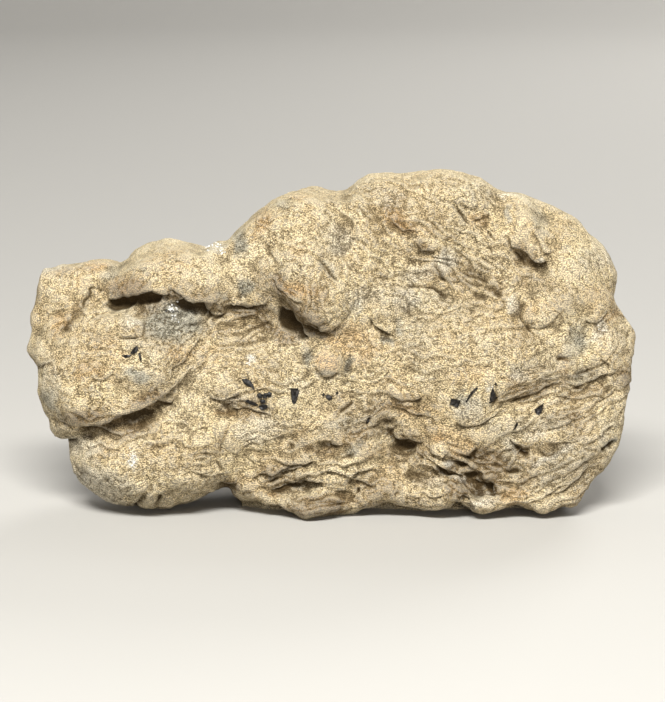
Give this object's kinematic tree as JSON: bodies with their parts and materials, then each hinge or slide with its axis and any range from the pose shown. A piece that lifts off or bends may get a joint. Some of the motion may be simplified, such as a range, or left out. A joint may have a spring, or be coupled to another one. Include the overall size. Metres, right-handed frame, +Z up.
{
  "type": "coprolite",
  "caption": "Lumpy sandy coprolite, a fossil dropping with rolled lobes, hanging ledges and hollows, that stands on its broken flat foot.",
  "frame": {"origin": "bottom centre of the bounding box, on the ground", "axes": "+X along the length, to the right as the figured face is looked at; the figured face looks to -Y; +Z up"},
  "size_m": [0.127, 0.0496, 0.0705],
  "materials": {
    "coprolite": "matte, sandy"
  },
  "bodies": {
    "root": {"coprolite": "coprolite"}
  },
  "joints": []
}
